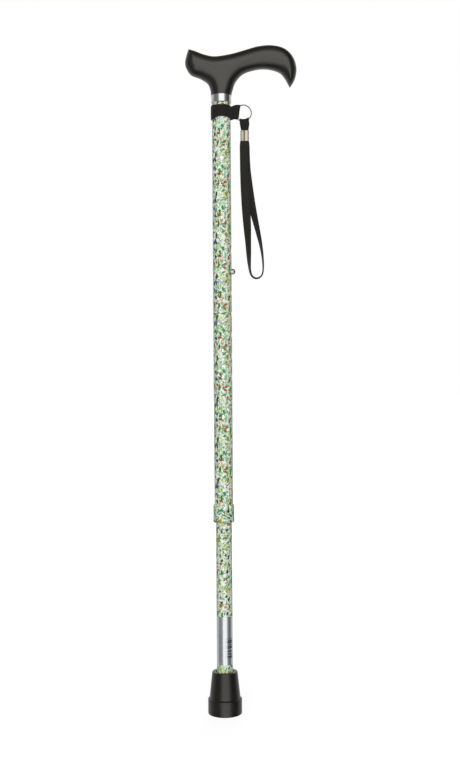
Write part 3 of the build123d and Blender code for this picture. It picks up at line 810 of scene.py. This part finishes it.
def strap_line():
    """The points of the route's own smooth curve, in metres."""
    data = bpy.data.curves.new("strap_line", "CURVE")
    data.dimensions = "3D"
    data.resolution_u = 24
    spline = data.splines.new("NURBS")
    spline.points.add(len(STRAP_ROUTE) - 1)
    for point, (x, y, z) in zip(spline.points, STRAP_ROUTE):
        point.co = (x * MM, y * MM, z * MM, 1)
    spline.order_u = 3
    spline.use_endpoint_u = True
    holder = bpy.data.objects.new("strap_line", data)
    bpy.context.scene.collection.objects.link(holder)
    mesh = bpy.data.meshes.new_from_object(holder.evaluated_get(bpy.context.evaluated_depsgraph_get()))
    line = np.array([v.co for v in mesh.vertices])
    bpy.data.objects.remove(holder)
    bpy.data.meshes.remove(mesh)
    return line


def spaced(line, step):
    """The same line with its points a step apart."""
    along = running_length(line)[:-1]
    marks = np.linspace(0, along[-1], round(along[-1] / step) + 1)
    return np.column_stack([np.interp(marks, along, line[:, axis]) for axis in range(3)])


def make_wrist_strap(material):
    """The flat braid, face on at the crimp, that twists to run edge on round the bottom of the loop."""
    line = spaced(strap_line(), STRAP_STEP * MM)
    count = len(line)
    tangent = np.gradient(line, axis=0)
    tangent /= np.linalg.norm(tangent, axis=1)[:, None]
    bottom = line[:, 2].argmin()
    turn = np.empty(count)
    for part, table in ((slice(0, bottom), STRAP_TURN_DOWN), (slice(bottom, count), STRAP_TURN_UP)):
        heights, degrees = zip(*table)
        turn[part] = np.interp(line[part, 2] / MM, heights, degrees)
    window = 2 * STRAP_EASE + 1
    turn = np.convolve(np.pad(turn, STRAP_EASE, mode="edge"), np.ones(window) / window, mode="valid")
    turn = np.radians(turn)
    across = np.column_stack([-np.cos(turn), np.sin(turn), np.zeros(count)])
    across -= (across * tangent).sum(1)[:, None] * tangent
    across /= np.linalg.norm(across, axis=1)[:, None]
    facing = np.cross(tangent, across)
    along = running_length(line)[:-1] / MM
    nip = np.minimum(along, along[-1] - along)
    width = STRAP_NIP + (1 - STRAP_NIP) * np.clip(nip / STRAP_NIP_REACH, 0, 1)
    section = braid_section(STRAP_WIDTH, STRAP_THICKNESS, ribs=6, depth=0.12, count=72)
    grid = np.array([
        [line[i] + (across[i] * a * width[i] + facing[i] * b) * MM for a, b in section]
        for i in range(count)
    ])
    u = running_length(section)
    piece = skin("wrist_loop", grid, u, along, material, "strap")
    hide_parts("wrist_strap")
    make_crimp()


def braid_section(width, thickness, ribs, depth, count):
    """The cross section of a flat braid: rounded edges, and low ribs that run along both faces."""
    section = np.array(rounded_section(width, thickness, count))
    share = np.clip(np.abs(section[:, 0]) / (width / 2), 0, 1)
    wave = depth * np.cos(2 * pi * ribs * (section[:, 0] / width + 0.5)) * (1 - share**6)
    section[:, 1] -= np.sign(section[:, 1]) * (depth - wave) * 0.5
    return section


# The crimp's outline from above, in millimetres: the sleeve is pressed into two lobes at the front.
CRIMP_SECTION = [
    (22.5, 0.0), (22.75, -1.5), (23.6, -2.3), (24.7, -2.45), (25.8, -2.1), (26.38, -1.3), (26.75, -1.35),
    (27.4, -2.1), (28.7, -2.45), (30.3, -2.4), (31.7, -2.0), (32.5, -1.1), (32.62, 0.0), (32.3, 1.3),
    (31.3, 2.2), (29.5, 2.4), (27.5, 2.25), (25.5, 2.4), (23.7, 2.2), (22.8, 1.3),
]
CRIMP_WALL = 0.5
CRIMP_SHORT = 0.9  # how much lower the sleeve ends than the space that CAD's crimp takes
CRIMP_COLOUR = (0.68, 0.63, 0.49, 1)


def make_crimp():
    """A thin metal sleeve with rolled ends, its wall drawn in slightly at mid height. Each ring of points is
    a rise above the bottom and how deep it lies in the wall, from 0 outside to 1 inside."""
    outer = closed_path(CRIMP_SECTION, 6)
    middle = outer.mean(0)
    heading = np.roll(outer, -1, axis=0) - np.roll(outer, 1, axis=0)
    inward = np.column_stack([-heading[:, 1], heading[:, 0]])
    inward /= np.linalg.norm(inward, axis=1)[:, None]
    inward *= np.sign(((middle - outer) * inward).sum(1))[:, None]
    inner = outer + CRIMP_WALL * inward
    tall = CRIMP_TOP - CRIMP_SHORT - CRIMP_BOTTOM
    rim = [(0.0, 0.5), (0.12, 0.15), (0.35, 0.0), (1.0, 0.02)]
    lip = [(0.0, 0.8), (0.5, 1.0)]
    outside = [*rim, (tall / 2, 0.05), *[(tall - rise, share) for rise, share in reversed(rim)]]
    inside = [*[(tall - rise, share) for rise, share in lip], (tall / 2, 1.0), *reversed(lip)]
    rings = []
    for rise, share in outside + inside:
        ring = outer + (inner - outer) * share
        rings.append(np.column_stack([ring, np.full(len(ring), CRIMP_BOTTOM + rise)]))
    grid = np.array(rings) * MM
    material = polished("nickel_crimp", CRIMP_COLOUR, 0.22, 0.1)
    faces = tube_faces(*grid.shape[:2], closed=True)
    piece = add_mesh("two_lobed_crimp", grid.reshape(-1, 3), faces, material, "strap")
    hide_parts("strap_crimp")
    return piece


# ---- Split ring and the eye that hangs on it ----

RING_X, RING_Z, RING_R = 26.1, 712.2, 9.6
RING_RADIAL = 1.25
RING_TURN_T = 0.62
RING_GAP = 0.04
RING_START = radians(38)
RING_JOG = radians(24)
RING_STEPS = 240


def make_split_ring(material):
    """A flat steel wire wound twice, with a jog where one turn passes over to the other."""
    section = rounded_section(RING_RADIAL, RING_TURN_T, 16, 3)
    grid = []
    for wound in np.linspace(0, 4 * pi - RING_JOG, RING_STEPS):
        share = np.clip((wound - (2 * pi - RING_JOG)) / RING_JOG, 0, 1)
        side = (share * share * (3 - 2 * share) - 0.5) * (RING_TURN_T + RING_GAP)
        turn = wound + RING_START
        out = np.array([cos(turn), 0, sin(turn)])
        middle = np.array([RING_X, 0, RING_Z]) + out * RING_R
        grid.append([middle + out * a + np.array([0, side + b, 0]) for a, b in section])
    grid = np.array(grid) * MM
    faces = tube_faces(*grid.shape[:2])
    piece = add_mesh("two_turn_ring", grid.reshape(-1, 3), faces, material, "ring")
    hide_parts("split_ring")


# The eye's left and right edges at heights in millimetres, and the front half of its middle line from the
# crimp to the top of the fold over the ring's wire. The back half is its mirror image.
EYE_LEFT = [(678, 23.4), (692.8, 23.3), (699, 22.0), (705, 21.6)]
EYE_RIGHT = [(678, 31.8), (692.8, 32.3), (697.5, 33.3), (701.5, 32.8), (705, 32.3)]
EYE_FRONT = [
    (-0.95, CRIMP_BOTTOM + 1.0), (-1.0, 688.0), (-1.1, 692.5), (-1.8, 696.0), (-2.4, 699.5), (-2.7, 701.8),
    (-2.65, 703.35), (-1.65, 704.38),
]
EYE_TOP = (0.0, 704.45)
EYE_THICKNESS = 1.15
# From this height on, over this rise, the eye takes up the curve of the ring's wire.
EYE_FOLLOWS_FROM, EYE_FOLLOWS_OVER = 694.0, 8.0


def make_strap_eye(material):
    """Webbing folded over the ring: wide at the fold, which follows the ring, and narrow at the crimp."""
    line = smooth_path([*EYE_FRONT, EYE_TOP, *[(-y, z) for y, z in reversed(EYE_FRONT)]], 7)
    tangent = np.gradient(line, axis=0)
    tangent /= np.linalg.norm(tangent, axis=1)[:, None]
    normal = np.column_stack([-tangent[:, 1], tangent[:, 0]])
    section = braid_section(1.0, EYE_THICKNESS, ribs=5, depth=0.1, count=64)
    grid = []
    for (y, z), (ny, nz) in zip(line, normal):
        left = np.interp(z, *zip(*EYE_LEFT))
        right = np.interp(z, *zip(*EYE_RIGHT))
        follow = np.clip((z - EYE_FOLLOWS_FROM) / EYE_FOLLOWS_OVER, 0, 1)
        ring = []
        for a, b in section:
            x = left + (a + 0.5) * (right - left)
            rise = RING_R - sqrt(RING_R**2 - (x - RING_X) ** 2)
            ring.append((x, y + ny * b, z + nz * b + rise * follow))
        grid.append(ring)
    grid = np.array(grid) * MM
    u = running_length(section * np.array([EYE_RIGHT[0][1] - EYE_LEFT[0][1], 1]))
    v = running_length(line)[:-1]
    piece = skin("folded_eye", grid, u, v, material, "strap")
    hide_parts("strap_eye")


# ---- Band round the tube ----

# Half of the webbing's middle line from above, in millimetres: from the fold at the end of the tab, along
# the tab, in to the stitches and out to the tube. The other half is its mirror image.
BAND_LINE_R = 11.85
BAND_THICKNESS = 1.25
BAND_HEIGHT = 16.0  # about its height all round, which sets the weave's scale
TAB_LINE = [
    (21.0, -0.01), (20.72, -0.82), (19.5, -1.28), (17.3, -1.3), (15.0, -0.74), (13.0, -1.15), (11.85, -2.5),
]
TAB_END_X = 21.0
TAB_START_X = 13.0
BAND_WRAP_FROM, BAND_WRAP_STEP = 22, 12
# The heights of its lower and upper edges, from left to right at the front and the same all over the back,
# and where the tab's end lies at each height.
BAND_LOW = [
    (-12.5, 704.1), (-10, 704.3), (-8, 704.9), (-4, 705.8), (0, 706.2), (5, 706.2), (8, 705.3),
    (11.3, 704.3), (13.6, 704.5), (16.1, 705.4), (18.4, 704.8), (20.7, 705.2),
]
BAND_HIGH = [
    (-12.5, 720.9), (-7, 720.3), (8, 720.2), (11.3, 719.5), (12.5, 720.0), (13.7, 720.9), (16, 721.8),
    (19, 722.0), (22, 721.5),
]
BAND_BACK_FROM = 3.0
BAND_BACK = (705.0, 720.5)
TAB_EDGE = [(705.0, 20.9), (709.0, 21.25), (714.0, 21.75), (718.5, 22.6), (722.0, 23.6)]


def make_band(material):
    """One webbing loop round the tube, whose two layers meet in a tab and fold round the ring."""
    wrap = [radians(a) for a in range(BAND_WRAP_FROM, 181, BAND_WRAP_STEP)]
    half = [*TAB_LINE, *[(BAND_LINE_R * cos(a), -BAND_LINE_R * sin(a)) for a in wrap]]
    half = [p for p in half if p[1] < 0]
    loop = half + [(x, -y) for x, y in reversed(half[1:])]
    line = closed_path(loop, 7)
    heading = np.roll(line, -1, axis=0) - np.roll(line, 1, axis=0)
    heading /= np.linalg.norm(heading, axis=1)[:, None]
    normal = np.column_stack([heading[:, 1], -heading[:, 0]])
    section = np.array(rounded_section(1.0, BAND_THICKNESS, 56))
    grid = []
    for (x, y), (nx, ny) in zip(line, normal):
        low, high = np.interp(x, *zip(*BAND_LOW)), np.interp(x, *zip(*BAND_HIGH))
        if y > BAND_BACK_FROM:
            low, high = BAND_BACK
        ring = []
        for a, b in section:
            z = low + (a + 0.5) * (high - low)
            stretch = np.clip((x - TAB_START_X) / (TAB_END_X - TAB_START_X), 0, 1)
            reach = (np.interp(z, *zip(*TAB_EDGE)) - TAB_END_X - BAND_THICKNESS / 2) * stretch
            ring.append((x + nx * b + reach, y + ny * b, z))
        grid.append(ring)
    grid = np.array(grid) * MM
    u = running_length(section * np.array([BAND_HEIGHT, 1]))
    v = running_length(line)
    piece = skin("webbing_band", grid, u, v, material, "band", closed=True)
    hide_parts("shaft_band")


STITCH_X = 15.0
STITCH_MIDDLE_Z = 713.6
STITCH_COUNT = 6
STITCH_PITCH = 2.4
STITCH_HALF = 0.9
STITCH_LEAN = 0.12
STITCH_FACE_Y = 1.26
STITCH_LIFT = 0.32
STITCH_THICK, STITCH_THIN = 0.26, 0.02
STITCH_RINGS, STITCH_SIDES = 13, 8


def make_stitches(material):
    """A row of short waxed threads on each face of the tab, which dip into the webbing at their ends."""
    points, faces = [], []
    for side in (-1, 1):
        for number in range(STITCH_COUNT):
            middle = STITCH_MIDDLE_Z + (number - (STITCH_COUNT - 1) / 2) * STITCH_PITCH
            base = len(points)
            for t in np.linspace(-1, 1, STITCH_RINGS):
                out = STITCH_FACE_Y + STITCH_LIFT * (1 - t**4)
                slim = STITCH_THICK * sqrt(max(0.0, 1 - abs(t) ** 5)) + STITCH_THIN
                for k in range(STITCH_SIDES):
                    turn = 2 * pi * k / STITCH_SIDES
                    x = STITCH_X + STITCH_LEAN * t + slim * sin(turn)
                    y = side * out + slim * cos(turn)
                    points.append((x * MM, y * MM, (middle + STITCH_HALF * t) * MM))
            faces += [tuple(base + k for k in face) for face in tube_faces(STITCH_RINGS, STITCH_SIDES)]
    piece = add_mesh("tab_stitches", points, faces, material, "band")
    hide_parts("band_stitches")


# ---- Looks of the CAD nodes that stay, and everything together ----

def dress(node, material):
    """Gives a CAD node its material."""
    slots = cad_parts[node].data.materials
    slots.clear()
    slots.append(material)


make_camera()
webbing = woven("ribbed_webbing", rgb(20, 19, 16), 1.15, 1.4, 0.12 * MM)
make_wrist_strap(woven("flat_braid", rgb(25, 24, 21), 1.6, 1.6, 0.12 * MM))
make_floor()
make_light()

make_handle(moulded("satin_black_plastic", rgb(24, 24, 22), 0.27, 1800.0, 0.006 * MM, 1.0))
make_strap_eye(webbing)
make_band(webbing)
make_stitches(moulded("waxed_thread", rgb(40, 38, 36), 0.5, 4000.0, 0.03 * MM))
make_split_ring(polished("ring_nickel", (0.24, 0.24, 0.24, 1), 0.3, 0.1))

OUTER_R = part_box("outer_tube")[1].x / MM
LOWER_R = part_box("lower_tube")[1].x / MM
COLLAR_R = 12.1
dress("neck_collar", polished("neck_chrome", (0.88, 0.88, 0.9, 1), 0.07))
dress("outer_tube", floral("outer_tube_print", OUTER_R, UPPER_TOP, UPPER_REPEAT, UPPER_MOTIFS))
dress("lower_tube", floral("lower_tube_print", LOWER_R, LOWER_TOP, LOWER_REPEAT, LOWER_MOTIFS))
dress("locking_collar", floral("collar_print", COLLAR_R, COLLAR_TOP, COLLAR_REPEAT, COLLAR_MOTIFS, 1.25))
nylon = moulded("white_nylon", rgb(228, 227, 222), 0.45, 900.0, 0.03 * MM)
for node in ("threaded_collet", "clamp_ring", "guide_bush"):
    dress(node, nylon)
steel = polished("rolled_steel", (0.56, 0.57, 0.58, 1), 0.25, 0.15)
for node in ("button_spring", "ferrule_washer"):
    dress(node, steel)
dress("snap_button", polished("button_nickel", (0.66, 0.65, 0.62, 1), 0.16))
dress("foil_label", foil("silver_foil", LOWER_R))
dress("ferrule", moulded("black_rubber", rgb(24, 23, 20), 0.28, 1400.0, 0.015 * MM, 0.8))
